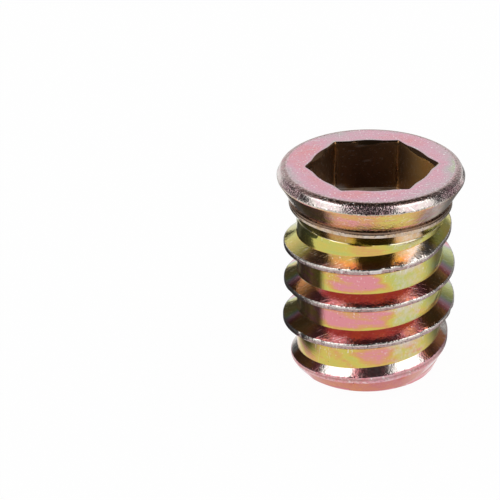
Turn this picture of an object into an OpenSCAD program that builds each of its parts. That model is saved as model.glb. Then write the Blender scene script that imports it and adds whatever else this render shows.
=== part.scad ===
// Hexagon-socket threaded insert for wood, with a flange.
// Its coarse outer thread is driven into a bored hole with a hexagon key,
// until the flange seats, and its bore then takes a machine screw.
// Origin: centre of the lower end face. +Z: up the axis, towards the flange.
// A corner of the socket lies on +X.

/* [Overall] */
// Length over all, from the end face to the flange face
insert_len = 20; // [16:0.5:30]

/* [Flange] */
// Largest diameter of the flange
flange_d = 17; // [16.6:0.1:20]
// Diameter of the flange face before its edge is rounded
flange_face_d = 16.1; // [15:0.1:16.4]
// Height of the chamfered rim, from the face down to the largest diameter
rim_h = 0.8; // [0.4:0.1:1.2]
// Radius of the rounding between the face and the rim
rim_round = 0.5; // [0.2:0.1:0.8]
// Height of the straight side under the rim
flange_side_h = 0.1; // [0.1:0.05:0.8]
// Radius of the rounding between the side and the cone under the flange
underside_round = 0.2; // [0.1:0.1:1.2]
// Diameter of the narrow end of that cone
neck_d = 14.6; // [14:0.1:14.8]
// Distance from the flange face to the narrow end of that cone
neck_depth = 3.06; // [2.6:0.01:5]

/* [Collar] */
// Diameter of the thin collar between the neck and the thread
collar_d = 14.9; // [14.9:0.1:15.6]
// Height of the collar's edge
collar_h = 0.55; // [0.3:0.05:0.8]
// Height of the cone that leads from the collar down to the thread root
collar_cone_h = 1.08; // [0.6:0.01:2]

/* [Outer thread] */
// Major diameter over the crests
thread_d = 15.9; // [15:0.1:16.6]
// Diameter at the root
root_d = 13.5; // [13:0.1:14]
// Pitch of the single-start, right-hand thread
thread_pitch = 3.8; // [3.4:0.1:5]
// Width of the flat on the crest
crest_w = 0.4; // [0.2:0.05:0.8]
// Angle of both flanks from a plane across the axis, in degrees
flank_angle = 33; // [20:1:40]
// Direction in which the ridge leaves the end face, in degrees from +X
thread_start_angle = 90; // [0:15:345]

/* [Upper end of the thread] */
// Crest diameter of the low part of the first turn under the flange
first_turn_d = 14.9; // [14.2:0.1:15.6]
// Flank angle of that part, in degrees
first_turn_angle = 48; // [20:1:50]
// Length of that part, down from the narrow end of the collar's cone
first_turn_len = 1.75; // [1.6:0.05:2.4]
// Height in which the crest drops to that part from the full diameter
first_drop_h = 0.38; // [0.2:0.02:0.5]
// Height in which the crest runs out at the collar's cone
run_out_h = 0.95; // [0.6:0.05:1.1]

/* [Lower end of the thread] */
// Height of the low last turn above the end face
last_turn_len = 3; // [2.4:0.1:4]
// Crest diameter at the upper end of the last turn
last_turn_d = 14.9; // [14.2:0.1:15.2]
// Crest diameter where the last turn meets the end face
last_turn_end_d = 14.6; // [14:0.1:15]
// Height in which the crest drops to the last turn from the full diameter
last_drop_h = 1.25; // [0.6:0.05:1.6]
// Width of the flat on the last turn
last_crest_w = 0.6; // [0.3:0.05:0.9]
// Drop of that flat from the middle of the ridge
last_crest_drop = 0.1; // [0:0.05:0.3]
// Flank angle of the last turn on its upper side, in degrees
last_upper_angle = 47; // [20:1:50]
// Flank angle of the last turn on its lower side, in degrees
last_lower_angle = 60; // [20:1:62]
// Diameter to which the last turn is chamfered at the end face
last_chamfer_d = 13.5; // [12.8:0.1:14.4]
// Angle of that chamfer from the axis, in degrees
last_chamfer_angle = 57; // [30:1:70]

/* [End face] */
// Outer diameter of the end face, inside its chamfer
end_face_d = 12.8; // [11.5:0.1:13]
// Height of the chamfer round the end face
end_chamfer_h = 0.8; // [0.3:0.05:1.2]

/* [Socket] */
// Width across the flats of the hexagon key
key_size = 10; // [8:0.1:10.4]
// Clearance of the socket on the key, across the flats
key_clearance = 0.2; // [0.1:0.05:0.4]
// Depth of the socket, from the flange face to the ends of its flats
socket_depth = 4.8; // [3:0.1:8]
// Width of the chamfer round the mouth of the socket
mouth_chamfer = 0.1; // [0.05:0.05:0.3]
// Slope of the shoulder between the socket and the bore, in degrees
shoulder_slope = 30; // [10:1:45]

/* [Bore] */
// Nominal diameter of the machine screw
screw_d = 8; // [5:0.5:8.5]
// Pitch of the machine screw
screw_pitch = 1.25; // [0.8:0.05:1.5]
// Width of the chamfer at the lower mouth of the bore
bore_chamfer = 0.6; // [0.2:0.1:1]

/* [Smoothness] */
// Facets of the outer thread in one turn
turn_steps = 48; // [36:4:72]
// Steps of each rounding on the flange
round_steps = 5; // [3:1:10]

/* [Hidden] */
$fn = 96;
// Overlap of solids that are joined or cut
over = 0.4;
// Drop from the nominal to the minor diameter of an internal metric thread, in pitches
metric_drop = 1.0825;
// Share of the largest rounding that still leaves a flat beside it
round_share = 0.9;
// Corner distance of a hexagon in widths across its flats
hex_corner = 2 / sqrt(3);

root_r = root_d / 2;
collar_z = insert_len - neck_depth;
relief_z = collar_z - collar_h - collar_cone_h;

bore_d = screw_d - metric_drop * screw_pitch;
socket_af = key_size + key_clearance;
socket_z = insert_len - socket_depth;
shoulder_h = (socket_af - bore_d) / 2 * tan(shoulder_slope);

// Rim: its width, the tilt of its normal above the horizontal, and its rounding with the
// distance from the sharp edge to where that rounding starts
rim_run = (flange_d - flange_face_d) / 2;
rim_tilt = atan2(rim_run, rim_h);
rim_fillet = min(rim_round, round_share * sqrt(pow(rim_run, 2) + pow(rim_h, 2)) / tan((90 - rim_tilt) / 2));
rim_fillet_in = rim_fillet * tan((90 - rim_tilt) / 2);

// Height and width of the cone under the flange, with the rounding above it
neck_top_z = insert_len - rim_h - flange_side_h;
neck_fall = neck_top_z - collar_z;
neck_run = (flange_d - neck_d) / 2;
neck_round = min(underside_round, round_share * (pow(neck_fall, 2) + pow(neck_run, 2)) / (2 * neck_run));
// The cone is tangent to the rounding, which turns through neck_tilt to meet it
neck_reach = sqrt(pow(neck_fall, 2) + pow(neck_round - neck_run, 2));
neck_tilt = atan2(neck_fall, neck_round - neck_run) - acos(neck_round / neck_reach);

// The ridge is sunk into the body at both corners of its foot
sunk_low_r = end_face_d / 2 - over;
sunk_high_r = root_r - over;

// Profile of the ridge: crest radius, lower and upper edge of the crest's flat as heights
// from the middle of the ridge, then the drop of the lower and upper flank per unit of radius
full_ridge = [thread_d / 2, -crest_w / 2, crest_w / 2, tan(flank_angle), tan(flank_angle)];
first_ridge = [first_turn_d / 2, -crest_w / 2, crest_w / 2, tan(first_turn_angle), tan(first_turn_angle)];
run_out_ridge = [root_r - over / 2, -crest_w / 2, crest_w / 2, tan(first_turn_angle), tan(first_turn_angle)];
last_ridge = low_ridge(last_turn_d);
end_ridge = low_ridge(last_turn_end_d);

// Heights at which the crest starts and ends its drop to the low part of the first turn
first_drop_z = relief_z - first_turn_len;
first_low_z = first_drop_z + first_drop_h;

function low_ridge(crest_d) =
    [crest_d / 2, -last_crest_drop - last_crest_w / 2, -last_crest_drop + last_crest_w / 2,
     tan(last_lower_angle), tan(last_upper_angle)];
function mix(a, b, share) = a + (b - a) * share;
function share_of(x, low, high) = min(1, max(0, (x - low) / (high - low)));

// Profile of the ridge where its middle is at height z
function ridge_profile(z) =
    z < last_turn_len ? mix(end_ridge, last_ridge, share_of(z, 0, last_turn_len))
    : z < first_drop_z ? mix(last_ridge, full_ridge, share_of(z, last_turn_len, last_turn_len + last_drop_h))
    : z < first_low_z ? mix(full_ridge, first_ridge, share_of(z, first_drop_z, first_low_z))
    : mix(first_ridge, run_out_ridge, share_of(z, relief_z - run_out_h, relief_z));

// The four corners of the ridge at a turn of the helix, counted from the end face
function ridge_section(turn) =
    let (z = turn * thread_pitch,
         a = thread_start_angle + 360 * turn,
         p = ridge_profile(z),
         low = p[1] - (p[0] - sunk_low_r) * p[3],
         high = p[2] + (p[0] - sunk_high_r) * p[4])
    [for (c = [[sunk_low_r, low], [p[0], p[1]], [p[0], p[2]], [sunk_high_r, high]])
        [c[0] * cos(a), c[0] * sin(a), z + c[1]]];

// Outer thread: one ridge along a helix, closed at both ends
module thread_ridge() {
    start_z = -crest_w / 2 - (thread_d / 2 - root_r) * tan(flank_angle) - over;
    first_step = floor(start_z / thread_pitch * turn_steps);
    last_step = floor(relief_z / thread_pitch * turn_steps);
    sections = [for (i = [first_step:last_step]) ridge_section(i / turn_steps)];
    count = len(sections);
    sides = [for (i = [0:count - 2], j = [0:3])
        each [[4 * i + j, 4 * i + (j + 1) % 4, 4 * (i + 1) + j],
              [4 * i + (j + 1) % 4, 4 * (i + 1) + (j + 1) % 4, 4 * (i + 1) + j]]];
    ends = [[3, 2, 1, 0], [for (j = [0:3]) 4 * (count - 1) + j]];
    polyhedron(points = [for (s = sections) each s], faces = concat(sides, ends), convexity = 10);
}

// Cone that trims the ridge to the end face and to the last turn's chamfer
module last_turn_trim() {
    cylinder(d1 = last_chamfer_d, d2 = last_chamfer_d + 2 * insert_len * tan(last_chamfer_angle),
             h = insert_len);
}

// Outline of the turned body from the end face to the flange face, as [radius, height]
function body_outline() = concat(
    [[0, 0], [end_face_d / 2, 0], [root_r, end_chamfer_h], [root_r, relief_z]],
    [[collar_d / 2, collar_z - collar_h], [collar_d / 2, collar_z], [neck_d / 2, collar_z]],
    [for (i = [round_steps:-1:0])
        let (a = neck_tilt * i / round_steps)
        [flange_d / 2 - neck_round * (1 - cos(a)), neck_top_z - neck_round * sin(a)]],
    [[flange_d / 2, insert_len - rim_h]],
    [for (i = [0:round_steps])
        let (a = rim_tilt + (90 - rim_tilt) * i / round_steps)
        [flange_face_d / 2 - rim_fillet_in + rim_fillet * cos(a), insert_len - rim_fillet * (1 - sin(a))]],
    [[0, insert_len]]);

// Hexagon socket with the chamfer round its mouth and the sloping shoulder below it
module socket() {
    translate([0, 0, socket_z])
        cylinder(d = socket_af * hex_corner, h = socket_depth + over, $fn = 6);
    translate([0, 0, insert_len - mouth_chamfer])
        cylinder(d1 = socket_af * hex_corner, d2 = (socket_af + 4 * mouth_chamfer) * hex_corner,
                 h = 2 * mouth_chamfer, $fn = 6);
    translate([0, 0, socket_z - shoulder_h])
        cylinder(d1 = bore_d, d2 = socket_af, h = shoulder_h);
}

// Bore for the machine screw, at the minor diameter of its thread
module bore() {
    translate([0, 0, -over])
        cylinder(d = bore_d, h = socket_z + over);
    translate([0, 0, -over])
        cylinder(d1 = bore_d + 2 * (bore_chamfer + over), d2 = bore_d, h = bore_chamfer + over);
}

// The insert, one solid
module insert() {
    color([0.80, 0.66, 0.42])
        difference() {
            union() {
                rotate_extrude() polygon(body_outline());
                intersection() {
                    thread_ridge();
                    last_turn_trim();
                }
            }
            socket();
            bore();
        }
}

insert();
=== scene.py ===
"""Looks of the threaded insert: a fine mesh with both threads, a yellow chromate plating with wear,
painted highlights and painted shade, and a plain studio whose softboxes and sheets only reflections
see, among them a painted reflection on the left and a painted floor shadow. Lengths of the insert and
of these two sheets are in millimetres and become metres where a mesh is built. Angles are in degrees."""

import math

import bpy
import numpy as np
from mathutils import Matrix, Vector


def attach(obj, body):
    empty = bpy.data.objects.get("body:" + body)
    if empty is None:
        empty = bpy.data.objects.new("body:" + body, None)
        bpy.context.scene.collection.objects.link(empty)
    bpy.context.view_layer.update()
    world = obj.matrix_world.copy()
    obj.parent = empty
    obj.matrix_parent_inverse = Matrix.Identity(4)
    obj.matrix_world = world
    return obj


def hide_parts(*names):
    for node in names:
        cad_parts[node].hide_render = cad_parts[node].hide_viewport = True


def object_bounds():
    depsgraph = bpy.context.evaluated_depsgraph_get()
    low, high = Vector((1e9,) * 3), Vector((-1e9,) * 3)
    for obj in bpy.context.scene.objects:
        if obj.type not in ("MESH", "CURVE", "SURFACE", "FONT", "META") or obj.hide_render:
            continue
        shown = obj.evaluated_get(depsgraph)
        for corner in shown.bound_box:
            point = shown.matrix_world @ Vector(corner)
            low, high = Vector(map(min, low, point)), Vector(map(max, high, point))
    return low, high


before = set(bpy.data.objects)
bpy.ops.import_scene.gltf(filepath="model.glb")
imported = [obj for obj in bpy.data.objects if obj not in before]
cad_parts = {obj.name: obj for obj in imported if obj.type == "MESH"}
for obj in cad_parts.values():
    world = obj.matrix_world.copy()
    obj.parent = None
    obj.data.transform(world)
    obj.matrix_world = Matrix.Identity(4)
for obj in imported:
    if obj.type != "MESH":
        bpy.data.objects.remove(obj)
cad_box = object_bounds()
MM = 0.001


# ---------------------------------------------------------------- helpers for numbers
def tan(degrees):
    return math.tan(math.radians(degrees))


def share(x, lo, hi):
    """0 at lo and 1 at hi, straight between them and level beyond."""
    return np.clip((x - lo) / (hi - lo), 0, 1)


def smooth(x, lo, hi):
    """As share, with eased ends."""
    t = share(x, lo, hi)
    return t * t * (3 - 2 * t)


def mix(a, b, t):
    return a + (b - a) * t


def curve(a, b, c, t):
    """Point at t on the curve that leaves a towards b and ends at c."""
    return a * (1 - t) ** 2 + b * 2 * t * (1 - t) + c * t * t


def hump(x, half):
    """1 at 0, falling smoothly on both sides, and nearly 0 past twice `half`."""
    return np.exp(-(x / half) ** 2)


def around(angle, period=360.0):
    """The angle less whole periods, so that it lies within half a period of 0."""
    return (angle + period / 2) % period - period / 2


def soft_max(a, b, reach):
    """The larger of a and b, with the change from one to the other rounded over about `reach`."""
    return reach * np.logaddexp(a / reach, b / reach)


def waves(x, seed, lowest, count=7):
    """Smooth noise of about -1 to 1 along x: waves of growing frequency, from the lowest one."""
    rng = np.random.default_rng(seed)
    total = np.zeros(np.shape(x))
    for k in range(count):
        total = total + np.sin(2 * math.pi * lowest * 1.7 ** k * x + rng.uniform(0, 6.28)) / (1 + 0.45 * k)
    return total / 2.6


# ---------------------------------------------------------------- sizes, as in the part's source
LENGTH, FLANGE_R = round(cad_box[1][2] / MM, 3), round(cad_box[1][0] / MM, 3)
RIM_H, SIDE_H, UNDER_ROUND = 0.8, 0.1, 0.2
NECK_R, NECK_DEPTH = 7.3, 3.06
COLLAR_R, COLLAR_H, COLLAR_CONE_H = 7.45, 0.55, 1.08
CREST_R, ROOT_R, PITCH, CREST_W, FLANK_ANGLE = 7.95, 6.75, 3.8, 0.4, 33
THREAD_START = 90.0  # azimuth from +X where the middle of the ridge leaves the end face
FIRST_R, FIRST_ANGLE, FIRST_LEN, FIRST_DROP_H, RUN_OUT_H = 7.45, 48, 1.75, 0.38, 0.95
LAST_R, LAST_END_R, LAST_LEN, LAST_DROP_H = 7.45, 7.3, 3.0, 1.25
LAST_CREST_W, LAST_CREST_DROP, LAST_UPPER_ANGLE, LAST_LOWER_ANGLE = 0.6, 0.1, 47, 60
LAST_CHAMFER_R, LAST_CHAMFER_ANGLE = 6.75, 57
END_R, END_CHAMFER_H = 6.4, 0.8
SOCKET_APOTHEM, SOCKET_DEPTH, MOUTH_CHAMFER, SHOULDER_SLOPE = 5.1, 4.8, 0.1, 30
SCREW_R, SCREW_PITCH, BORE_CHAMFER = 4.0, 1.25, 0.6
METRIC_DEPTH = 0.54125  # depth of a metric internal thread, as a share of its pitch

COLLAR_Z = LENGTH - NECK_DEPTH
CONE_TOP_Z = COLLAR_Z - COLLAR_H
RELIEF_Z = CONE_TOP_Z - COLLAR_CONE_H
SOCKET_Z = LENGTH - SOCKET_DEPTH
BORE_R = SCREW_R - METRIC_DEPTH * SCREW_PITCH
SHOULDER_Z = SOCKET_Z - (SOCKET_APOTHEM - BORE_R) * tan(SHOULDER_SLOPE)

# The mesh has a column of points at each of these azimuths. Both threads climb with `phase`.
COLUMNS = 360
theta = np.arange(COLUMNS) * 360.0 / COLUMNS
phase = (theta - THREAD_START) / 360.0

# what a point of the mesh belongs to
(FOOT, UPPER_FLANK, CORNER, CREST, WALL, COLLAR, RIM, END_FACE, TOP_FACE, SOCKET_WALL, SOCKET_FLOOR, BORE,
 FLANGE_CONE, LOWER_FLANK, COLLAR_CONE, LEAD_IN) = range(16)

# ---------------------------------------------------------------- outer thread
CORNER_ROUND = 0.08  # reach of the rounding at each edge of the crest
RIPPLE = 0.012  # height of the small waves along the crest
HIGHEST_CREST = CREST_R + 0.12
SUNK_R = ROOT_R - 0.2  # crest radius at the far end of the run-out
SUNK_MARGIN, SUNK_FLANK = 0.01, 0.15  # when the ridge counts as sunk, and the flank that it keeps
LONGEST_FLANK, HALVINGS = 3.5, 40  # the search for a flank's foot: how far it looks, and its steps
FLANK_ROWS = (0.03, 0.25, 0.5, 0.75, 0.97)
CORNER_ROWS = (0.0, 0.25, 0.5, 0.75, 1.0)
WALL_ROWS = (0.02, 0.2, 0.4, 0.6, 0.8, 0.98)
TURNS = range(-1, 5)

# Departures of the real thread from its nominal form, where the middle of the ridge is at a height:
# height, shift of the crest's lower edge, shift of its upper edge, change of its radius
DEPARTURES = np.array((
    (0.0, 0.0, -0.1, 0.0), (0.5, -0.05, -0.28, 0.0), (0.9, -0.05, -0.32, 0.0), (1.4, 0.0, -0.2, 0.0),
    (1.9, 0.0, 0.0, 0.0), (3.9, 0.0, 0.0, 0.0), (4.3, -0.18, -0.12, 0.12), (4.7, -0.22, -0.15, 0.18),
    (5.2, -0.12, -0.08, 0.1), (5.7, 0.0, 0.0, 0.0), (9.4, 0.0, 0.0, 0.0), (10.0, -0.04, -0.16, -0.07),
    (10.5, -0.05, -0.2, -0.1), (11.2, 0.0, 0.0, 0.0)))

# Nicks in the crest: azimuth from +X, height of the ridge's middle, depth, half width in degrees
NICKS = (
    (-77, 13.45, 0.16, 2.6), (-84, 13.35, 0.10, 2.0), (-112, 13.07, 0.08, 3.0), (-60, 13.63, 0.07, 4.0),
    (-119, 9.2, 0.10, 2.4), (-98, 9.42, 0.06, 3.0), (-66, 9.76, 0.09, 2.2), (-40, 10.03, 0.12, 3.0),
    (-128, 5.31, 0.10, 2.2), (-88, 5.72, 0.07, 2.6), (-55, 6.07, 0.12, 2.0), (-20, 6.44, 0.10, 3.0),
    (-105, 1.74, 0.06, 2.5), (-70, 2.11, 0.05, 3.0), (20, 7.0, 0.12, 2.5), (75, 11.24, 0.14, 2.6),
    (110, 7.8, 0.10, 3.0), (150, 12.03, 0.12, 2.2), (200, 8.76, 0.09, 2.8), (215, 5.1, 0.12, 2.4))


def body_r(z):
    """Radius of the turned body without its thread, from the end face to the collar."""
    r = ROOT_R - (ROOT_R - END_R) * share(z, END_CHAMFER_H, 0)
    return r + (COLLAR_R - ROOT_R) * share(z, RELIEF_Z, CONE_TOP_Z)


def section(radius, lower, upper, lower_angle, upper_angle):
    """Crest radius, heights of the crest's edges from the ridge's middle, and slope of each flank."""
    return np.array([radius, lower, upper, tan(lower_angle), tan(upper_angle)])


def ridge_section(mid):
    """Nominal section of the ridge where its middle is at the height `mid`."""
    def low(radius):
        lower, upper = -LAST_CREST_DROP - LAST_CREST_W / 2, -LAST_CREST_DROP + LAST_CREST_W / 2
        return section(radius, lower, upper, LAST_LOWER_ANGLE, LAST_UPPER_ANGLE)

    half = CREST_W / 2
    full = section(CREST_R, -half, half, FLANK_ANGLE, FLANK_ANGLE)
    first = section(FIRST_R, -half, half, FIRST_ANGLE, FIRST_ANGLE)
    sunk = section(SUNK_R, -half, half, FIRST_ANGLE, FIRST_ANGLE)
    first_drop_z = RELIEF_Z - FIRST_LEN
    mid = mid[..., None]
    here = mix(low(LAST_END_R), low(LAST_R), share(mid, 0, LAST_LEN))
    here = mix(here, full, smooth(mid, LAST_LEN, LAST_LEN + LAST_DROP_H))
    here = mix(here, first, smooth(mid, first_drop_z, first_drop_z + FIRST_DROP_H))
    return mix(here, sunk, share(mid, RELIEF_Z - RUN_OUT_H, RELIEF_Z))


def nick_depth(mid):
    """How far the nicks cut into the crest."""
    azimuth = np.degrees(mid / PITCH * 2 * math.pi) + THREAD_START
    total = np.zeros_like(mid)
    for at, height, depth, half in NICKS:
        same_turn = np.abs(mid - height) < PITCH / 3
        total = total + depth * hump(around(azimuth - at), half) * same_turn
    return total


def flank_reach(edge_z, edge_r, slope, side):
    """How far from the crest's edge, up (side 1) or down (side -1), a flank meets the body."""
    near, far = np.zeros_like(edge_z), np.full_like(edge_z, LONGEST_FLANK)
    for _ in range(HALVINGS):
        middle = (near + far) / 2
        outside = edge_r - middle / slope > body_r(edge_z + side * middle)
        near, far = np.where(outside, middle, near), np.where(outside, far, middle)
    return (near + far) / 2


def ridge_rows(mid):
    """Rows across the ridge, upwards: radii, heights, label, and place between foot and crest."""
    crest_r, lower, upper, lower_slope, upper_slope = np.moveaxis(ridge_section(mid), -1, 0)
    heights, lower_shift, upper_shift, radius_change = DEPARTURES.T
    crest_r = crest_r + np.interp(mid, heights, radius_change) + RIPPLE * waves(mid, 3, 0.4, 3)
    lower = lower + np.interp(mid, heights, lower_shift) + RIPPLE * waves(mid, 5, 0.3, 3)
    upper = upper + np.interp(mid, heights, upper_shift) + RIPPLE * waves(mid, 8, 0.3, 3)
    crest_r = np.minimum(crest_r, HIGHEST_CREST)
    nick = nick_depth(mid)
    is_sunk = crest_r <= body_r(mid) + SUNK_MARGIN

    def flank(side, label, edge, slope):
        """Rows of one flank, from its foot on the body to the end of the crest's rounded corner."""
        edge_z = mid + edge
        reach = np.where(is_sunk, SUNK_FLANK, flank_reach(edge_z, crest_r, slope, side))
        foot_z = edge_z + side * reach
        foot_r = body_r(foot_z)
        back = np.minimum(CORNER_ROUND, reach * 0.4) / np.sqrt(1 + slope * slope)
        corner_r, corner_z = crest_r - back, edge_z + side * back * slope
        rows = [(foot_r, foot_z, FOOT, 0.0)]
        for t in FLANK_ROWS:
            cut = nick * share(t, 0.9, 1.2)
            rows.append((mix(foot_r, corner_r, t) - cut, mix(foot_z, corner_z, t), label, t))
        for t in CORNER_ROWS:
            z = curve(corner_z, edge_z, edge_z - side * CORNER_ROUND, t)
            rows.append((curve(corner_r, crest_r, crest_r, t) - nick, z, CORNER, t))
        return rows

    rows = flank(-1, LOWER_FLANK, lower, lower_slope)
    rows.append((crest_r - nick, mid + (lower + upper) / 2, CREST, 0.5))
    return rows + flank(+1, UPPER_FLANK, upper, upper_slope)[::-1]


def thread_rows():
    """Rows of all turns, with the walls between them, and the number of rows in a turn."""
    every = []
    for turn in TURNS:
        rows = ridge_rows(PITCH * (phase + turn))
        below, above = rows[-1][1], ridge_rows(PITCH * (phase + turn + 1))[0][1]
        for t in WALL_ROWS:
            z = mix(below, above, t)
            rows.append((body_r(z), z, WALL, t))
        every += [(*row, turn) for row in rows]
    return every, len(rows)


thread, PER_TURN = thread_rows()
thread_r, thread_z = (np.array([row[k] for row in thread]).T for k in (0, 1))
thread_tags = [row[2:] for row in thread]
end_chamfer = LAST_CHAMFER_R + np.maximum(thread_z, 0) * tan(LAST_CHAMFER_ANGLE)
thread_r = np.maximum(np.minimum(thread_r, end_chamfer), body_r(thread_z))

# ---------------------------------------------------------------- collar, cone and rim
GROOVE_DROP, GROOVE_DEPTH, GROOVE_HALF = 0.24, 0.06, 0.05  # fine groove in the collar's edge
COLLAR_FOOT, COLLAR_BEVEL, COLLAR_ROUND = 0.06, 0.02, 0.03
CONE_SHARE = 0.85  # part of the flange cone's rows that is straight; the rest is its round
FACET_R, FACET_DROP = 8.21, 0.21  # where the rim's steep worn facet meets the shallow one
FACET_TOP_R, FACET_ROUND = 7.83, 0.16
EDGE_R = 7.62  # where the flat face ends
CONE_STEPS, UNDER_STEPS, RIM_STEPS = 12, 8, 24


def rounded(outline, reach, steps=4):
    """A polyline whose inner corners are curves that reach so far along their sides."""
    out = [outline[0]]
    for before, corner, after in zip(outline, outline[1:], outline[2:]):
        before, corner, after = np.array(before), np.array(corner), np.array(after)
        sides = before - corner, after - corner
        cut = min(reach, *(np.linalg.norm(side) * 0.45 for side in sides))
        start, end = (corner + side / np.linalg.norm(side) * cut for side in sides)
        out += [tuple(curve(start, corner, end, t)) for t in np.linspace(0, 1, steps)]
    return out + [outline[-1]]


def flange_rows():
    """Rows from the collar up to the flat face: radius, height, label, and place within the label."""
    neck_top_z = LENGTH - RIM_H - SIDE_H
    fall, run = neck_top_z - COLLAR_Z, FLANGE_R - NECK_R
    reach = math.hypot(fall, UNDER_ROUND - run)
    tilt = math.atan2(fall, UNDER_ROUND - run) - math.acos(UNDER_ROUND / reach)

    def underside(angle):
        return FLANGE_R - UNDER_ROUND * (1 - math.cos(angle)), neck_top_z - UNDER_ROUND * math.sin(angle)

    cone_top = underside(tilt)
    groove_z = COLLAR_Z - GROOVE_DROP
    ring = rounded([
        (COLLAR_R, CONE_TOP_Z), (COLLAR_R, CONE_TOP_Z + COLLAR_FOOT), (COLLAR_R, groove_z - GROOVE_HALF),
        (COLLAR_R - GROOVE_DEPTH, groove_z), (COLLAR_R, groove_z + GROOVE_HALF),
        (COLLAR_R, COLLAR_Z - COLLAR_BEVEL), (NECK_R + COLLAR_BEVEL, COLLAR_Z), cone_top], COLLAR_ROUND)
    out = [(r, z, COLLAR, k / len(ring)) for k, (r, z) in enumerate(ring[:-1])]
    foot = ring[-2]
    for t in np.linspace(0.08, 0.92, CONE_STEPS):
        r, z = (mix(foot[k], cone_top[k], t) for k in (0, 1))
        out.append((r, z, FLANGE_CONE, CONE_SHARE * t))
    for t in np.linspace(1, 0, UNDER_STEPS):
        out.append((*underside(tilt * t), FLANGE_CONE, 1 - (1 - CONE_SHARE) * t))
    rim = rounded([(FLANGE_R, LENGTH - RIM_H), (FACET_R, LENGTH - FACET_DROP), (FACET_TOP_R, LENGTH),
                   (EDGE_R, LENGTH)], FACET_ROUND, 6)
    along = np.concatenate([[0], np.cumsum([math.dist(a, b) for a, b in zip(rim, rim[1:])])])
    for t in np.linspace(0, 1, RIM_STEPS):
        r, z = (np.interp(t * along[-1], along, [point[k] for point in rim]) for k in (0, 1))
        out.append((r, z, RIM, t))
    return out


# ---------------------------------------------------------------- socket and internal thread
TIP = 0.155  # a rounded corner of a hexagon ends short of the sharp one by this share of its radius
SOCKET_CORNER, MOUTH_CORNER = 0.35, 0.2  # radii of the corners
CORNER_BLEND, LEAD_BLEND = 0.03, 0.04  # how softly a wall passes into a corner or the lead-in
LEAD_R, LEAD_SLOPE = 5.42, 1.1  # the lead-in countersink at the socket's mouth
WORN_CORNER, WORN_HALF = 0.2, 13.0  # the mouth's corner at azimuth 0 is worn wider by this
FACE_ROWS = (0.97, 0.85, 0.7, 0.55, 0.4, 0.25, 0.12, 0.03, 0.0)
SOCKET_ROWS = (0.6, 1.4, 2.1, 2.8, 3.5, 4.2, 4.65, 4.76)  # depths below the face
FILLET = 0.04  # at the foot of the socket's walls
FLOOR_STEP, FLOOR_DROP = 0.06, 0.006  # the sloping floor's first row, inside and below the fillet
FLOOR_ROWS = (0.05, 0.5, 0.95)
BORE_ROWS = ((0.06, 0), (0.44, 1), (0.56, 1), (0.94, 0))  # share of a pitch, share of the depth
BORE_TURNS = range(-1, 13)


def hexagon_r(azimuth, apothem, corner):
    """Radius of a hexagon with rounded corners, one of them at azimuth 0."""
    flat = apothem / np.cos(np.radians(azimuth % 60.0 - 30.0))
    tip = apothem * 2 / math.sqrt(3) - TIP * corner
    return -soft_max(-flat, -tip, CORNER_BLEND)


def bore_rows():
    """Radii and heights of the internal thread, which fades out at both ends of the bore."""
    radii, heights = [], []
    for turn in BORE_TURNS:
        for t, depth in BORE_ROWS:
            z = SCREW_PITCH * (phase + turn + t)
            fade = smooth(z, BORE_CHAMFER - 0.2, BORE_CHAMFER + 1.2)
            fade = fade * smooth(z, SHOULDER_Z, SHOULDER_Z - 1.0)
            radii.append(BORE_R + depth * fade * (SCREW_R - BORE_R))
            heights.append(z)
    return np.array(radii).T, np.array(heights).T


# ---------------------------------------------------------------- columns of points
GAP = 0.004  # the least height between a thread's row and a fixed row
EDGE = 0.02  # distance of a row from the corner beside it
LEAD_EDGE, LEAST_LEAD = 0.03, 0.05  # the same at the lead-in, and the least width of the lead-in
LAST_ROW_Z = RELIEF_Z - 0.05  # the barrel's last row, just below the cone under the collar
LAST_ROW_TAGS = WALL, 0.9, 3  # its label, its place in the wall, and its turn
CONE_ROWS = (0.0, 0.06, 0.3, 0.55, 0.8, 0.97)
END_ROWS = (0.3, 0.6, 0.96)
SHARP_ANGLE = 38  # edges with more than this between their faces stay sharp

collar_to_face = flange_rows()
bore_r, bore_z = bore_rows()
points = []
tags = []  # of each point: label, place, height of the ridge's middle, azimuth, height


def add(i, r, z, label, t=0.5, turn=0):
    """A new point in column i, with what it belongs to and its place there. Returns its number."""
    a = math.radians(theta[i])
    points.append((r * math.cos(a) * MM, r * math.sin(a) * MM, z * MM))
    tags.append((label, t, PITCH * (phase[i] + turn), theta[i], z))
    return len(points) - 1


def barrel_column(i):
    """The thread's rows between the end face and the cone under the collar, as (row, point) pairs."""
    keep = [j for j in range(thread_z.shape[1]) if GAP < thread_z[i, j] < LAST_ROW_Z - GAP]
    column = [(j, add(i, thread_r[i, j], thread_z[i, j], *thread_tags[j])) for j in keep]
    above = next(n for n, j in enumerate(keep) if thread_z[i, j] > END_CHAMFER_H)
    if above and thread_tags[keep[above - 1]][0] == thread_tags[keep[above]][0] == WALL:
        column.insert(above, (keep[above] - 0.5, add(i, ROOT_R, END_CHAMFER_H, WALL, 0.3)))
    return column


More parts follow.
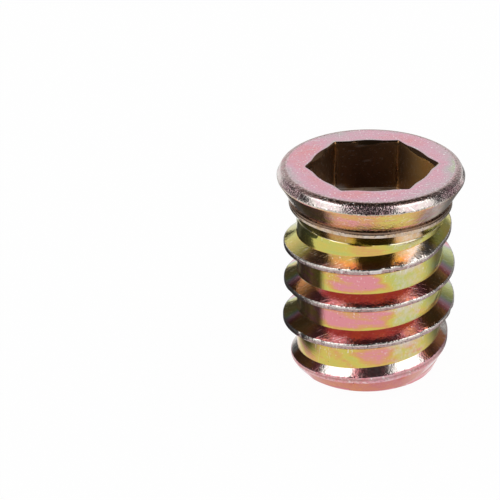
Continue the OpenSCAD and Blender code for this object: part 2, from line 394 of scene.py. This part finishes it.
def top_column(i):
    """From the cone under the collar, over the flange, and down the socket and over its floor."""
    column = [add(i, np.interp(LAST_ROW_Z, thread_z[i], thread_r[i]), LAST_ROW_Z, *LAST_ROW_TAGS)]
    for t in CONE_ROWS:
        z = RELIEF_Z + COLLAR_CONE_H * t
        column.append(add(i, body_r(z), z, COLLAR_CONE, t))
    column += [add(i, *row) for row in collar_to_face]
    mouth = hexagon_r(theta[i], SOCKET_APOTHEM + MOUTH_CHAMFER, MOUTH_CORNER)
    mouth = soft_max(mouth, LEAD_R, LEAD_BLEND) + WORN_CORNER * hump(around(theta[i]), WORN_HALF)
    column += [add(i, mix(mouth, EDGE_R, t), LENGTH, TOP_FACE, t) for t in FACE_ROWS]
    wall = hexagon_r(theta[i], SOCKET_APOTHEM, SOCKET_CORNER)
    lead_z = LENGTH - LEAD_SLOPE * max(mouth - wall, LEAST_LEAD)
    column += [add(i, mouth - LEAD_EDGE, LENGTH - EDGE, LEAD_IN),
               add(i, wall + LEAD_EDGE, lead_z + LEAD_EDGE, LEAD_IN),
               add(i, wall, lead_z - 2 * EDGE, SOCKET_WALL)]
    column += [add(i, wall, LENGTH - depth, SOCKET_WALL) for depth in SOCKET_ROWS]
    for t in (0.3, 1.0):
        column.append(add(i, wall - FILLET * t, SOCKET_Z + FILLET * (1 - t) ** 2, SOCKET_FLOOR))
    column.append(add(i, min(wall, SOCKET_APOTHEM) - FLOOR_STEP, SOCKET_Z - FLOOR_DROP, SOCKET_FLOOR))
    for t in FLOOR_ROWS:
        r, z = mix(SOCKET_APOTHEM - FLOOR_STEP, BORE_R, t), mix(SOCKET_Z, SHOULDER_Z, t) - FLOOR_DROP
        column.append(add(i, r, z, SOCKET_FLOOR))
    return column


def bore_column(i):
    """The internal thread's rows between the shoulder and the lower chamfer, as (row, point) pairs."""
    keep = [j for j in range(bore_z.shape[1]) if BORE_CHAMFER + GAP < bore_z[i, j] < SHOULDER_Z - GAP]
    return [(j, add(i, bore_r[i, j], bore_z[i, j], BORE)) for j in reversed(keep)]


def end_column(i, outer_r):
    """Over the bore's lower chamfer and out along the end face."""
    mouth = BORE_R + BORE_CHAMFER
    column = [add(i, BORE_R, BORE_CHAMFER, BORE), add(i, mouth - EDGE, EDGE, BORE),
              add(i, mouth + EDGE, 0.0, END_FACE)]
    return column + [add(i, mix(mouth, outer_r, t), 0.0, END_FACE) for t in END_ROWS]


def column_parts(i):
    """All points of column i: the end face's outer corner, and then each part of the column.
    Where the ridge runs out of the end face, that corner lies further out."""
    outer_r = max(END_R, np.interp(0.0, thread_z[i], thread_r[i]))
    corner = add(i, outer_r, 0.0, END_FACE)
    return corner, barrel_column(i), top_column(i), bore_column(i), end_column(i, outer_r)


def keyed(parts, climbed):
    """A closed column as (key, point) pairs, where points with the same key lie side by side.
    `climbed` is 1 for the first column where it follows the last: there each thread is a turn on."""
    corner, barrel, top, bore, end = parts
    return ([((0, 0), corner)]
            + [((1, j - climbed * PER_TURN), v) for j, v in barrel]
            + [((2, k), v) for k, v in enumerate(top)]
            + [((3, climbed * len(BORE_ROWS) - j), v) for j, v in bore]
            + [((4, k), v) for k, v in enumerate(end)]
            + [((5, 0), corner), ((math.inf, 0), None)])


def strip(a, b):
    """Faces between two columns: equal keys make a four-sided face, and the rest triangles."""
    faces, p, q = [], 0, 0
    while p < len(a) - 2 or q < len(b) - 2:
        next_a, next_b = a[p + 1][0], b[q + 1][0]
        face = [a[p][1], b[q][1]]
        if next_b <= next_a:
            q += 1
            face.append(b[q][1])
        if next_a <= next_b:
            p += 1
            face.append(a[p][1])
        faces.append(tuple(face))
    return faces


def insert_mesh():
    columns = [column_parts(i) for i in range(COLUMNS)]
    faces = []
    for i, parts in enumerate(columns):
        following = (i + 1) % COLUMNS
        faces += strip(keyed(parts, 0), keyed(columns[following], int(following == 0)))
    made = bpy.data.meshes.new("insert_plated")
    made.from_pydata(points, [], faces)
    made.validate()
    made.shade_smooth()
    made.set_sharp_from_angle(angle=math.radians(SHARP_ANGLE))
    return made


mesh = insert_mesh()
piece = bpy.data.objects.new("insert_plated", mesh)
bpy.context.scene.collection.objects.link(piece)

# ---------------------------------------------------------------- film, wear and painted light, from the form
# Each point gets values that the material reads: its place on the ramp of film colours, how much bare
# metal shows through wear and as painted highlight, how rough it is and how much painted shade darkens
# it, how much its tool marks and its scratches show, and how matt it is.
CAM_AZ = -94.76  # azimuth of the camera from +X, from which film colours and painted light and shade are placed
TOP_TURN_Z = 11.2  # from here up a wall belongs to the top turn, under the flange
LAST_TURN_Z = 3.4  # below this a crest belongs to the last turn
END_ZONE_Z = 1.2  # below this the barrel has the look of its chamfered end

LABEL, T, MID, AZ, Z = np.array(tags, float).T
LOOKS = ("film", "worn", "grit", "deep", "lines", "scratched", "dull")
look = {name: np.zeros(len(tags)) for name in LOOKS}
aside = np.sin(np.radians(AZ - CAM_AZ))  # 1 on the right, -1 on the left
from_axis = np.abs(around(AZ - CAM_AZ, 180.0))  # 0 at the front and back, 90 at the sides


def on(*labels):
    """True at the points that belong to one of these."""
    return np.isin(LABEL, labels)


def paint(where, **values):
    """Sets some of the points' values, and leaves the others as they are."""
    for name, value in values.items():
        look[name] = np.where(where, value, look[name])


def near(azimuth, half):
    """1 at an azimuth from +X, fading on both sides."""
    return hump(around(AZ - azimuth), half)


def zone(lo, hi, soft=7.0):
    """1 between two azimuths from the camera, and the same on each third of the way round."""
    off = np.abs(around(AZ - CAM_AZ - (lo + hi) / 2, 120.0))
    return 1 - smooth(off, (hi - lo) / 2 - soft / 2, (hi - lo) / 2 + soft / 2)


def paint_flanks():
    """Upper flanks are gold on the top turn, red on the middle turns and pale on the last one. The last
    turn's pale look is painted highlight; the top turn has painted highlight on its right and painted
    shade on its left.
    """
    top_turn, last_turn = share(MID, 11.4, 12.4), share(MID, 3.6, 2.8)
    sides, ends = smooth(from_axis, 38, 52), smooth(from_axis, 62, 84)
    middle_film = 0.375 - 0.095 * sides + (0.46 + 0.1 * smooth(-aside, 0.0, 0.3)) * ends
    top_film = 0.885 + 0.055 * T - 0.12 * zone(52, 68, 14) - 0.12 * ends
    film = middle_film * (1 - top_turn) + top_film * top_turn
    film = film * (1 - last_turn) + (0.42 - 0.1 * sides) * last_turn
    # Painted highlight on the top turn: on its right side, and towards its crest at some azimuths.
    top_worn = 0.02 + 0.6 * smooth(aside, 0.3, 0.5) * (1 - smooth(aside, 0.7, 0.84))
    top_worn = top_worn + 0.2 * share(T, 0.5, 0.9) * zone(18, 60)
    # Painted highlight on the last turn, except in front of the camera and at 45 to 81 degrees from it.
    last_worn = 0.9 - 0.75 * zone(45, 81, 8) - 0.5 * zone(-12, 14, 8)
    worn = last_worn * last_turn + top_worn * top_turn
    # Pale at the crest's edge from wear; painted shade on the left of the top turn.
    paint(on(UPPER_FLANK), film=film, worn=np.maximum(worn, 0.55 * share(T, 0.95, 1.0)),
          grit=0.1 + 0.25 * share(T, 0.85, 1.0) + 0.12 * last_turn, scratched=0.5, dull=0.16 * last_turn,
          deep=0.38 * top_turn * smooth(-aside, 0.2, 0.4) * (1 - ends))
    # Lower flanks are paler at 46 to 74 degrees on each side of the camera: a painted highlight.
    paint(on(LOWER_FLANK), film=0.35 + 0.38 * smooth(from_axis, 42, 68), worn=0.3 * zone(46, 74, 12))
    paint(on(FOOT), film=0.9)


def paint_crests():
    """Crests are rough and show wear, most of all at the upper corner; painted shade darkens the crest,
    and above the last turn its lower corner too.
    """
    above = Z > MID
    paint(on(CREST), film=0.53, worn=0.5, deep=0.46, grit=1.0, scratched=0.65)
    paint(on(CORNER), film=0.53, worn=np.where(above, 0.95, 0.66), grit=np.where(above, 0.65, 1.0),
          deep=np.where((Z < MID) & (MID > LAST_TURN_Z), 0.5, 0.0), scratched=0.65)
    paint(on(CREST, CORNER) & (MID < LAST_TURN_Z), film=0.46, worn=0.35, grit=0.45)


def paint_walls():
    """Walls are yellow-green, with pink patches whose place drifts from turn to turn."""
    upper, lower = share(MID, 8.4, 9.4), share(MID, 4.9, 4.1)
    centre = -12.5 + 3.5 * upper + 18.5 * lower
    half = 27 - 9 * upper - 13 * lower
    off = (around(AZ - CAM_AZ - centre, 120.0) + 7 * waves(0.8 * T + MID, 41, 0.9, 4)) / half
    pink = 1 - smooth(np.abs(off), 0.5, 1.5)
    pink = pink * np.clip(1.1 - hump(T, 0.22) - 0.4 * hump(T - 1.0, 0.1), 0, 1)
    film = 0.81 + 0.035 * lower + (0.1 - 0.08 * lower) * smooth(-aside, 0.56, 0.74)
    film = film - 0.02 * smooth(aside, 0.6, 0.8) + (0.22 - 0.11 * lower) * pink
    film = np.minimum(film + 0.07 * waves(MID / PITCH + 0.05 * T, 61, 11.0, 4) * (1 - pink), 1.0)
    # Paler to the right of the camera, a painted highlight, and paler towards the top of each wall.
    on_right = (0.2 * smooth(aside, 0.2, 0.45) + 0.22 * share(T, 0.6, 1.0)) * (1 - smooth(aside, 0.6, 0.82))
    paint(on(WALL), film=film, worn=0.22 * zone(14, 56, 24) + on_right, lines=0.9,
          scratched=0.15 + 0.55 * share(T, 0.5, 0.9))
    film = 0.81 + 0.05 * zone(-14, 10, 14) - 0.03 * zone(14, 50)
    paint(on(WALL) & (MID > TOP_TURN_Z), film=film, lines=1.0)
    paint(on(WALL) & (Z < END_ZONE_Z), film=0.46 - 0.06 * smooth(aside, 0.4, 0.9), worn=0.15)
    # Light wear on the cone under the collar, with painted highlights on both sides of the camera's
    # azimuth.
    paint(on(COLLAR_CONE), film=np.interp(T, (0.0, 0.1, 0.45, 0.55, 1.0), (0.77, 0.76, 0.77, 0.80, 0.83)),
          worn=0.22 + 0.55 * (zone(14, 60) + zone(-60, -14)), lines=0.9)


def paint_flange():
    """The collar is dark from its groove up with painted shade, the cone golden with painted highlights at
    the sides, the rim rough with wear, painted highlights and painted shade, and the face pink.
    """
    # Painted shade on the collar, from its groove up.
    paint(on(COLLAR), film=0.2, worn=0.6, grit=0.6, lines=1.1, deep=0.12 + 0.73 * smooth(T, 0.18, 0.36))
    film = np.interp(T, (0.0, 0.12, 0.35, 0.7, 0.9, 1.0), (0.96, 0.94, 0.915, 0.91, 0.925, 0.955))
    film = film + 0.03 * zone(-24, -10, 14) * hump(T - 0.4, 0.3)
    film = film - 0.05 * zone(6, 30, 18) * hump(T - 0.5, 0.5)
    # Painted highlights at the sides of the cone, over light wear near the rim.
    paint(on(FLANGE_CONE), film=film, grit=0.15 + 0.7 * share(T, 0.9, 1.0), lines=1.1, scratched=0.55,
          worn=np.maximum(0.05 + 0.4 * share(T, 0.9, 1.0), 0.62 * zone(34, 74, 22)))
    # Painted highlight: the rim's steep facet is paler in this band, where it is also smooth.
    band = zone(-48, -13, 9) + zone(13, 48, 9)  # where the steep facet of the rim is smooth
    steep = share(T, 0.62, 0.5)
    shallow = share(T, 0.52, 0.6) * share(T, 1.0, 0.88)
    # Painted shade on the shallow facet, less towards the sides, and a little on the steep facet away from
    # the band.
    shallow_deep = (0.85 - 0.4 * smooth(np.abs(aside), 0.5, 0.85)) * shallow
    paint(on(RIM), film=0.53 - 0.03 * zone(64, 76, 12), worn=0.5 + 0.25 * band * steep,
          grit=1.0 - 0.8 * band * steep * share(T, 0.0, 0.12), scratched=1.0,
          deep=np.maximum(shallow_deep, 0.25 * (1 - band) * share(T, 0.7, 0.5)))
    film = 0.485 + 0.02 * T + (0.05 + 0.05 * waves(AZ / 360, 51, 2.0, 4)) * share(T, 0.6, 1.0)
    film = film + 0.1 * share(T, 0.14, 0.0)
    film = film + 0.02 * near(-30, 24) * share(T, 0.1, 0.5) + 0.13 * near(-10, 14) * share(T, 0.3, 0.8)
    paint(on(TOP_FACE), film=film, grit=0.2 + 0.6 * share(T, 0.88, 1.0), scratched=1.3)


def paint_inside():
    """Inside, painted shade darkens the plating, least on the wall near azimuth 8 and at the corner lines,
    which stay bright; one painted glint lies at the floor, and the plating is matt.
    """
    corner = hump(around(AZ, 60.0), 2.4)
    glint = near(117, 8) * share(Z, SOCKET_Z + 0.7, SOCKET_Z + 0.3)
    dull = 1.0 + 1.3 * near(12, 34)
    deep = np.clip(0.95 - 0.95 * near(8, 34) - 0.3 * near(150, 24) - 0.6 * corner, 0, 1)
    paint(on(SOCKET_WALL), film=0.17 + 0.07 * near(14, 50), worn=glint, deep=deep * (1 - glint),
          dull=dull * (1 - 0.6 * corner), scratched=0.25 + 0.5 * near(150, 24))
    paint(on(SOCKET_FLOOR), film=0.12, worn=glint, deep=0.1 * (1 - glint), dull=dull)
    # Painted shade in the lead-in and the bore.
    paint(on(LEAD_IN), film=0.22, deep=0.9)
    paint(on(BORE), deep=0.6)


paint(LABEL >= 0, film=0.45, scratched=0.15)
paint_flanks()
paint_crests()
paint_walls()
paint_flange()
paint_inside()
for name, values in look.items():
    mesh.attributes.new(name, "FLOAT", "POINT").data.foreach_set("value", values.astype(np.float32))


# ---------------------------------------------------------------- helpers for materials
class Tree:
    """Short calls that add shader nodes and join them."""

    def __init__(self, owner):
        owner.use_nodes = True
        self.nodes, self.links = owner.node_tree.nodes, owner.node_tree.links
        self.own_coordinates = None

    def put(self, socket, value):
        """Joins another node's output to a socket, or sets the socket's own value."""
        if isinstance(value, bpy.types.NodeSocket):
            self.links.new(value, socket)
        elif socket.type == "RGBA":
            socket.default_value = (*value, 1)
        else:
            socket.default_value = value

    def add(self, kind, inputs=None, **settings):
        new = self.nodes.new(kind)
        for name, value in settings.items():
            setattr(new, name, value)
        for name, value in (inputs or {}).items():
            self.put(new.inputs[name], value)
        return new

    def maths(self, operation, *values, clamp=False):
        new = self.add("ShaderNodeMath", dict(enumerate(values)), operation=operation, use_clamp=clamp)
        return new.outputs[0]

    def plus(self, a, b):
        return self.maths("ADD", a, b)

    def times(self, a, b):
        return self.maths("MULTIPLY", a, b)

    def times_plus(self, a, factor, term, clamp=False):
        return self.maths("MULTIPLY_ADD", a, factor, term, clamp=clamp)

    def mixed(self, factor, a, b):
        new = self.add("ShaderNodeMix", data_type="RGBA", clamp_factor=True)
        for place, value in ((0, factor), (6, a), (7, b)):
            self.put(new.inputs[place], value)
        return new.outputs[2]

    def attribute(self, name):
        return self.add("ShaderNodeAttribute", attribute_name=name).outputs["Fac"]

    def coordinates(self):
        """The object's own coordinates, in metres."""
        if self.own_coordinates is None:
            self.own_coordinates = self.add("ShaderNodeTexCoord").outputs["Object"]
        return self.own_coordinates

    def stretched(self, scale, turn=0.0):
        """The object's coordinates turned about the axis, in radians, and scaled."""
        inputs = {"Vector": self.coordinates(), "Scale": scale, "Rotation": (0, 0, turn)}
        return self.add("ShaderNodeMapping", inputs).outputs[0]

    def noise(self, scale, detail=2.0, vector=None, rough=0.5):
        """Noise of about -1 to 1."""
        inputs = {"Scale": scale, "Detail": detail, "Roughness": rough}
        inputs["Vector"] = vector or self.coordinates()
        return self.times_plus(self.add("ShaderNodeTexNoise", inputs).outputs["Fac"], 4.0, -2.0)

    def surface(self, shader):
        self.put(self.nodes["Material Output"].inputs["Surface"], shader.outputs[0])


# ---------------------------------------------------------------- plating
FILM_RAMP = (
    (0.00, (0.80, 0.76, 0.74)), (0.08, (0.74, 0.62, 0.52)), (0.16, (0.62, 0.43, 0.25)),
    (0.24, (0.60, 0.36, 0.12)), (0.31, (0.62, 0.25, 0.09)), (0.375, (0.51, 0.15, 0.15)),
    (0.44, (0.70, 0.28, 0.30)), (0.52, (0.65, 0.36, 0.44)), (0.60, (0.52, 0.43, 0.45)),
    (0.68, (0.45, 0.52, 0.32)), (0.76, (0.51, 0.52, 0.14)), (0.84, (0.62, 0.50, 0.11)),
    (0.91, (0.66, 0.36, 0.13)), (0.98, (0.70, 0.27, 0.30)))
# Bare metal, which also paints highlights, and the colour of painted shade; then pale specks, pits and dark
# specks.
BARE_METAL_AND_HIGHLIGHT, PAINTED_SHADE_TINT = (0.67, 0.61, 0.57), (0.17, 0.09, 0.05)
PALE, PIT, DARK_SPECK = (0.88, 0.86, 0.85), (0.14, 0.09, 0.07), (0.10, 0.07, 0.06)
# crossing scratches: turn about the axis in radians, frequency along and across
SCRATCHES = ((0.3, 260, 9000), (1.25, 330, 8000), (2.4, 300, 10000))
RELIEF = 0.00003  # depth of the fine grain, in metres


def film_tint(tree, marks, rings, flecks):
    """Colour of the film, with patches, flecks, tool marks and clouds."""
    place = tree.times_plus(tree.noise(420, 3.0), 0.028, marks["film"])
    place = tree.times_plus(flecks, 0.016, place)
    place = tree.plus(place, tree.times(rings, tree.times(marks["lines"], 0.03)))
    streaks = tree.noise(1.0, 3.0, tree.stretched((230, 230, 1500)))
    place = tree.plus(place, tree.times(streaks, tree.times(marks["lines"], 0.05)))
    clouds = tree.noise(260, 4.0, rough=0.6)
    place = tree.plus(place, tree.times(clouds, tree.times(marks["scratched"], 0.055)))
    ramp = tree.add("ShaderNodeValToRGB", {"Fac": place})
    stops = ramp.color_ramp.elements
    while len(stops) > 1:
        stops.remove(stops[-1])
    stops[0].position = FILM_RAMP[0][0]
    for position, _ in FILM_RAMP[1:]:
        stops.new(position)
    for stop, (_, colour) in zip(stops, FILM_RAMP):
        stop.color = (*colour, 1)
    return ramp.outputs["Color"]


def crossing_scratches(tree, marks):
    """Fine straight scratches in three directions."""
    every = None
    for turn, along, across in SCRATCHES:
        lined = tree.noise(1.0, 1.0, tree.stretched((along, across, 900), turn))
        one = tree.times_plus(lined, 5.0, -4.1, clamp=True)
        every = one if every is None else tree.maths("MAXIMUM", every, one)
    return tree.times(every, marks["scratched"])


def worn_tint(tree, tint, marks, scratches):
    """The film's colour with bare metal from wear and as painted highlight, painted shade, pale specks,
    pits, dark specks and scratches.
    """
    # Bare metal where wear shows, also used for painted highlights.
    bare_and_lit = tree.times_plus(tree.noise(1700, 3.0, rough=0.65), 0.26, marks["worn"])
    tint = tree.mixed(tree.times_plus(bare_and_lit, 1.7, -0.45, clamp=True), tint, BARE_METAL_AND_HIGHLIGHT)
    # Painted shade.
    tint = tree.mixed(marks["deep"], tint, PAINTED_SHADE_TINT)
    specks = tree.times_plus(tree.noise(5200, 1.0), 3.5, -2.1, clamp=True)
    tint = tree.mixed(tree.times(specks, tree.times(marks["scratched"], 0.7)), tint, PALE)
    pits = tree.times_plus(tree.noise(3100, 1.0), 4.0, -4.3, clamp=True)
    tint = tree.mixed(tree.times(pits, 0.75), tint, PIT)
    # Dark specks where the surface is gritty.
    dark_specks = tree.times_plus(tree.noise(5600, 2.0, rough=0.7), 3.6, -0.9, clamp=True)
    tint = tree.mixed(tree.times(dark_specks, tree.times(marks["grit"], 0.85)), tint, DARK_SPECK)
    return tree.mixed(tree.times(scratches, 0.7), tint, PALE)


def plating():
    material = bpy.data.materials.new("zinc_chromate")
    tree = Tree(material)
    marks = {name: tree.attribute(name) for name in look}
    rings = tree.noise(1.0, 3.0, tree.stretched((180, 180, 7000)))
    flecks = tree.noise(2600, 2.0)
    scratches = crossing_scratches(tree, marks)
    tint = worn_tint(tree, film_tint(tree, marks, rings, flecks), marks, scratches)
    rough = tree.times_plus(marks["grit"], 0.06, 0.125)
    rough = tree.times_plus(flecks, 0.02, rough)
    rough = tree.times_plus(marks["dull"], 0.3, rough)
    grain = tree.plus(tree.noise(4300, 2.0, rough=0.6), tree.times(tree.noise(7500, 1.0), 0.5))
    height = tree.times(grain, tree.times_plus(marks["grit"], 0.5, 0.015))
    height = tree.plus(height, tree.times(rings, tree.times(marks["lines"], 0.04)))
    height = tree.maths("SUBTRACT", height, tree.times(scratches, 0.15))
    bump = tree.add("ShaderNodeBump", {"Strength": 1.0, "Distance": RELIEF, "Height": height})
    values = {"Metallic": 1.0, "Base Color": tint, "Roughness": rough, "Normal": bump.outputs[0]}
    for name, value in values.items():
        tree.put(tree.nodes["Principled BSDF"].inputs[name], value)
    return material


mesh.materials.append(plating())
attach(piece, "root")
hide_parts("insert")

# ---------------------------------------------------------------- studio: floor and backdrop
FLOOR_HALF = 3.0  # metres
FLOOR_GLOW, FLOOR_EVEN = 1.035, 0.93  # how brightly the floor glows, and how much of its look that is
SCENE_LIGHT = 0.5  # light that the backdrop throws, when it is seen as 1


def direction(azimuth, elevation):
    """Unit vectors, with the azimuth counted to the right of the camera as it looks at the object."""
    a, e = np.radians(CAM_AZ + np.asarray(azimuth, float)), np.radians(elevation)
    return np.stack(np.broadcast_arrays(np.cos(a) * np.cos(e), np.sin(a) * np.cos(e), np.sin(e)), axis=-1)


def stage_mesh(name, corners, quads, material):
    made = bpy.data.meshes.new(name)
    made.from_pydata(corners, [], quads)
    made.materials.append(material)
    thing = bpy.data.objects.new(name, made)
    bpy.context.scene.collection.objects.link(thing)
    return thing


def seen_directly(tree):
    """1 for camera, glossy and transmission rays."""
    path = tree.add("ShaderNodeLightPath")
    either = tree.maths("MAXIMUM", path.outputs["Is Camera Ray"], path.outputs["Is Glossy Ray"])
    return tree.maths("MAXIMUM", either, path.outputs["Is Transmission Ray"])


def floor_material():
    """Nearly even white to the camera and in reflections, and a plain white floor for other light."""
    material = bpy.data.materials.new("floor_white")
    tree = Tree(material)
    white = tree.nodes["Principled BSDF"]
    for name, value in {"Base Color": (0.9, 0.9, 0.9), "Roughness": 1.0, "Specular IOR Level": 0.0}.items():
        tree.put(white.inputs[name], value)
    glow = tree.add("ShaderNodeEmission", {"Color": (1, 1, 1), "Strength": FLOOR_GLOW})
    even = tree.times(seen_directly(tree), FLOOR_EVEN)
    tree.surface(tree.add("ShaderNodeMixShader", {0: even, 1: white.outputs[0], 2: glow.outputs[0]}))
    return material


def backdrop():
    """A white world, half as strong for the light that it throws as for what is seen of it."""
    world = bpy.data.worlds.new("studio")
    bpy.context.scene.world = world
    tree = Tree(world)
    white = tree.nodes["Background"].inputs
    tree.put(white["Color"], (1, 1, 1))
    tree.put(white["Strength"], tree.times_plus(seen_directly(tree), 1 - SCENE_LIGHT, SCENE_LIGHT))


floor_corners = [(x * FLOOR_HALF, y * FLOOR_HALF, 0) for x, y in ((-1, -1), (1, -1), (1, 1), (-1, 1))]
stage_mesh("floor", floor_corners, [(0, 1, 2, 3)], floor_material())
backdrop()

# ---------------------------------------------------------------- studio: sheets seen only in reflections
ROOM_R, SOFTBOX_R = 0.9, 0.6  # metres from the foot of the axis
# outlines of the softboxes, upwards: elevation, inner and outer azimuth
SOFTBOX_LEFT = ((4, -31, -74), (20, -31, -81), (34, -31.5, -92), (50, -33.5, -105), (57, -48, -110),
                (66, -76, -112), (73, -94, -106))
SOFTBOX_RIGHT = ((4, 31, 84), (20, 31, 86), (35, 31, 88), (52, 31.5, 98), (58, 40, 102), (66, 56, 104),
                 (73, 70, 102), (77, 80, 96))
INNER_FADE, OUTER_FADE, LOW_FADE, HIGH_FADE = 3.0, 7.0, 6, 3  # width of a softbox's soft edges
HOT_WIDTH, HOT_HEIGHT = 34.0, 15.0
LEFT_SHEET_DISTANCE = 13.0  # distance of the left sheet, a painted reflection, from the axis
FLOOR_SHADOW_Z = 0.2
FLOOR_SHADOW_R = (8.6, 9.2, 9.8, 10.4, 11, 11.6, 12.2, 12.8, 13.6, 14.6, 16, 17.5, 19, 21, 23, 26, 32, 60,
                 120)


def make_glow_material():
    """Glows by "level" where "cover" is 1, and is clear where it is 0."""
    material = bpy.data.materials.new("reflection_only_glow")
    tree = Tree(material)
    tree.nodes.remove(tree.nodes["Principled BSDF"])
    glow = tree.add("ShaderNodeEmission", {"Strength": tree.attribute("level")})
    clear = tree.add("ShaderNodeBsdfTransparent")
    cover = tree.attribute("cover")
    tree.surface(tree.add("ShaderNodeMixShader", {0: cover, 1: clear.outputs[0], 2: glow.outputs[0]}))
    return material


glow_material = make_glow_material()


def sheet(name, grid, level, cover):
    """A stage mesh from rows of points, with its glow and cover given at each point."""
    high, wide = grid.shape[:2]
    quads = [(r * wide + c, r * wide + c + 1, (r + 1) * wide + c + 1, (r + 1) * wide + c)
             for r in range(high - 1) for c in range(wide - 1)]
    made = stage_mesh(name, grid.reshape(-1, 3).tolist(), quads, glow_material)
    for key, values in (("level", level), ("cover", cover)):
        values = np.asarray(values, np.float32).ravel()
        made.data.attributes.new(key, "FLOAT", "POINT").data.foreach_set("value", values)
    # Seen only in reflections and casting no shadow: these glowing sheets are painted reflections.
    made.visible_camera = made.visible_shadow = made.visible_diffuse = False


def room():
    """A dark dome in front and above, with the bright backdrop left open behind."""
    az, el = np.meshgrid(np.arange(-180, 181, 3.0), np.arange(1, 90.5, 3.0))
    opening = np.maximum(smooth(-az, 124, 142), smooth(az, 138, 158)) * (1 - smooth(el, 40, 56))
    level = 0.04 + 0.24 * smooth(az, 106, 118) * (1 - smooth(el, 30, 42))
    level = level + 0.09 * smooth(-az, 90, 100) * (1 - smooth(el, 30, 50))
    sheet("studio_wall", direction(az, el) * ROOM_R, level, 1 - opening)


def softbox(name, outline, hot_az, hot_el, edge_level, hot_level):
    """A glowing sheet with soft edges, brightest at one place."""
    at, inner, outer = np.array(outline, float).T
    el = np.linspace(at[0], at[-1], 40)[:, None]
    inner, outer = np.interp(el, at, inner), np.interp(el, at, outer)
    across = np.linspace(0, 1, 25)[None, :]
    az = inner + (outer - inner) * across
    width = np.abs(outer - inner) * np.cos(np.radians(el))
    cover = np.minimum(smooth(across * width, 0, INNER_FADE), smooth((1 - across) * width, 0, OUTER_FADE))
    cover = cover * smooth(el, at[0], at[0] + LOW_FADE) * (1 - smooth(el, at[-1] - HIGH_FADE, at[-1]))
    hot = hump(az - hot_az, HOT_WIDTH) * hump(el - hot_el, HOT_HEIGHT)
    sheet(name, direction(az, el) * SOFTBOX_R, mix(edge_level, hot_level, hot), cover)


def left_reflection_sheet():
    """A painted reflection: a dim glowing sheet that stands close on the left, about as high as the second
    insert of the photograph.
    """
    forward, height = np.meshgrid(np.linspace(-18, 9, 55), np.linspace(0, 1, 9))
    grid = direction(-90, 0) * LEFT_SHEET_DISTANCE + direction(0, 0) * forward[..., None]
    grid[..., 2] = height * np.interp(forward, (-18, -1, 5, 9), (14.2, 14.2, 8.4, 7.8))
    level = np.clip(0.07 + 0.05 * waves(forward / 27, 31, 2.0, 7), 0.02, 0.3)
    sheet("reflection_sheet_left", grid * MM, level, 1 - smooth(forward, 5.6, 8.8))


def painted_floor_shadow():
    """Painted floor shadow, seen only in reflections: darkens the floor beside the object, under the left
    sheet, and on the right towards the back.
    """
    az, away = np.meshgrid(np.arange(-180, 181, 2.5), np.array(FLOOR_SHADOW_R))
    to_left, to_front = -away * np.sin(np.radians(az)), away * np.cos(np.radians(az))
    on_left = smooth(to_left, 8.0, 10.6) * (1 - smooth(to_front, 1.5, 7.5)) * (1 - smooth(away, 18, 22))
    begins = np.interp(away, (12.5, 26), (65, 78))
    on_right = smooth(az, begins, begins + 40) * (1 - smooth(az, 150, 172))
    on_right = on_right * (1 - 0.5 * hump(away - 17.5, 3.0))
    grid = direction(az, 0) * away[..., None]
    grid[..., 2] = FLOOR_SHADOW_Z
    sheet("floor_shadow_sheet", grid * MM, np.where(to_left > 0, 0.04, 0.18), np.maximum(on_left, on_right))


room()
softbox("softbox_left", SOFTBOX_LEFT, -62, 44, 1.25, 2.7)
softbox("softbox_right", SOFTBOX_RIGHT, 60, 46, 1.3, 2.7)
left_reflection_sheet()
painted_floor_shadow()

# ---------------------------------------------------------------- camera
EYE = (-12.19, -146.42, 89.08)
HEADING, TILT, ROLL = -0.4456, 62.1161, -1.1885  # about the upright, from straight down, about the view
LENS, SENSOR = 129.17, 36.0
NEAREST, FARTHEST = 0.001, 20.0  # metres

camera_data = bpy.data.cameras.new("camera")
camera_data.lens, camera_data.sensor_width = LENS, SENSOR
camera_data.clip_start, camera_data.clip_end = NEAREST, FARTHEST
camera = bpy.data.objects.new("camera", camera_data)
camera.matrix_world = Matrix.Translation([x * MM for x in EYE])
for degrees, axis in ((HEADING, "Z"), (TILT, "X"), (ROLL, "Z")):
    camera.matrix_world = camera.matrix_world @ Matrix.Rotation(math.radians(degrees), 4, axis)
bpy.context.scene.collection.objects.link(camera)
bpy.context.scene.camera = camera
bpy.context.scene.view_settings.view_transform = "Standard"
